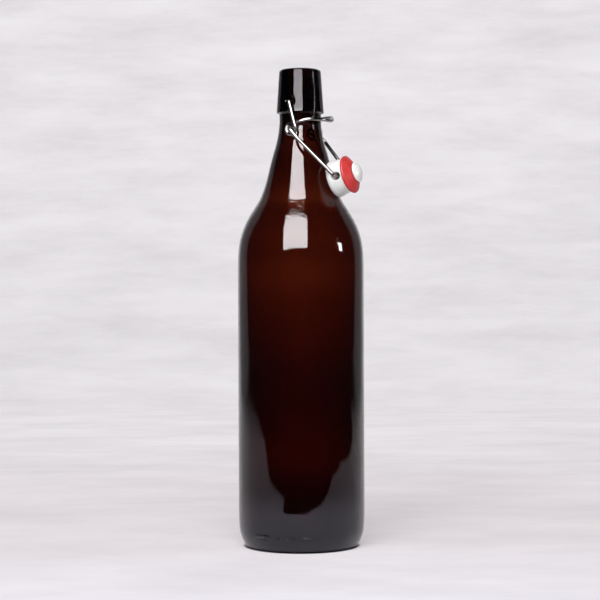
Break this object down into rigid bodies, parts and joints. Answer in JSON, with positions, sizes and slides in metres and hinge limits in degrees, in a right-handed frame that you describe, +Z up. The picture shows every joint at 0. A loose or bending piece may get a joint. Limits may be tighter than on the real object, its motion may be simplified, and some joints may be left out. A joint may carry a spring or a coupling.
{
  "type": "swing top bottle",
  "caption": "Tall amber glass bottle with a long neck and a lever-and-bail wire closure carrying a porcelain stopper and a rubber gasket, hanging open.",
  "frame": {"origin": "on the bottle's axis, at the level of the surface that its base ring stands on", "axes": "+Z up along the bottle's axis; +X towards the open closure and its finger loop; Y along the closure's hinge pins"},
  "size_m": [0.0874, 0.0848, 0.32],
  "materials": {
    "amber_glass": "gloss",
    "lever_steel": "bright drawn wire",
    "bail_steel": "bright drawn wire",
    "porcelain": "glazed gloss",
    "red_rubber": "satin"
  },
  "bodies": {
    "bottle": {"bottle": "amber_glass"},
    "lever": {"lever_wire": "lever_steel"},
    "bail": {"bail_wire": "bail_steel"},
    "stopper": {"stopper": "porcelain", "gasket": "red_rubber"}
  },
  "joints": [
    {"name": "lever_hinge", "type": "hinge", "parent": "bottle", "child": "lever", "pos_m": [0, 0, 0.2981], "axis": [0, -1, 0], "range_deg": [0, 78]},
    {"name": "bail_hinge", "type": "hinge", "parent": "lever", "child": "bail", "pos_m": [0.0023, 0, 0.279], "axis": [0, -1, 0], "range_deg": [0, 86]},
    {"name": "stopper_hinge", "type": "hinge", "parent": "bail", "child": "stopper", "pos_m": [0.03135, 0, 0.2473], "axis": [0, -1, 0], "range_deg": [0, 91]}
  ],
  "couplings": [
    {"joint": "stopper_hinge", "follows": "bail_hinge", "ratio": 1.056}
  ]
}
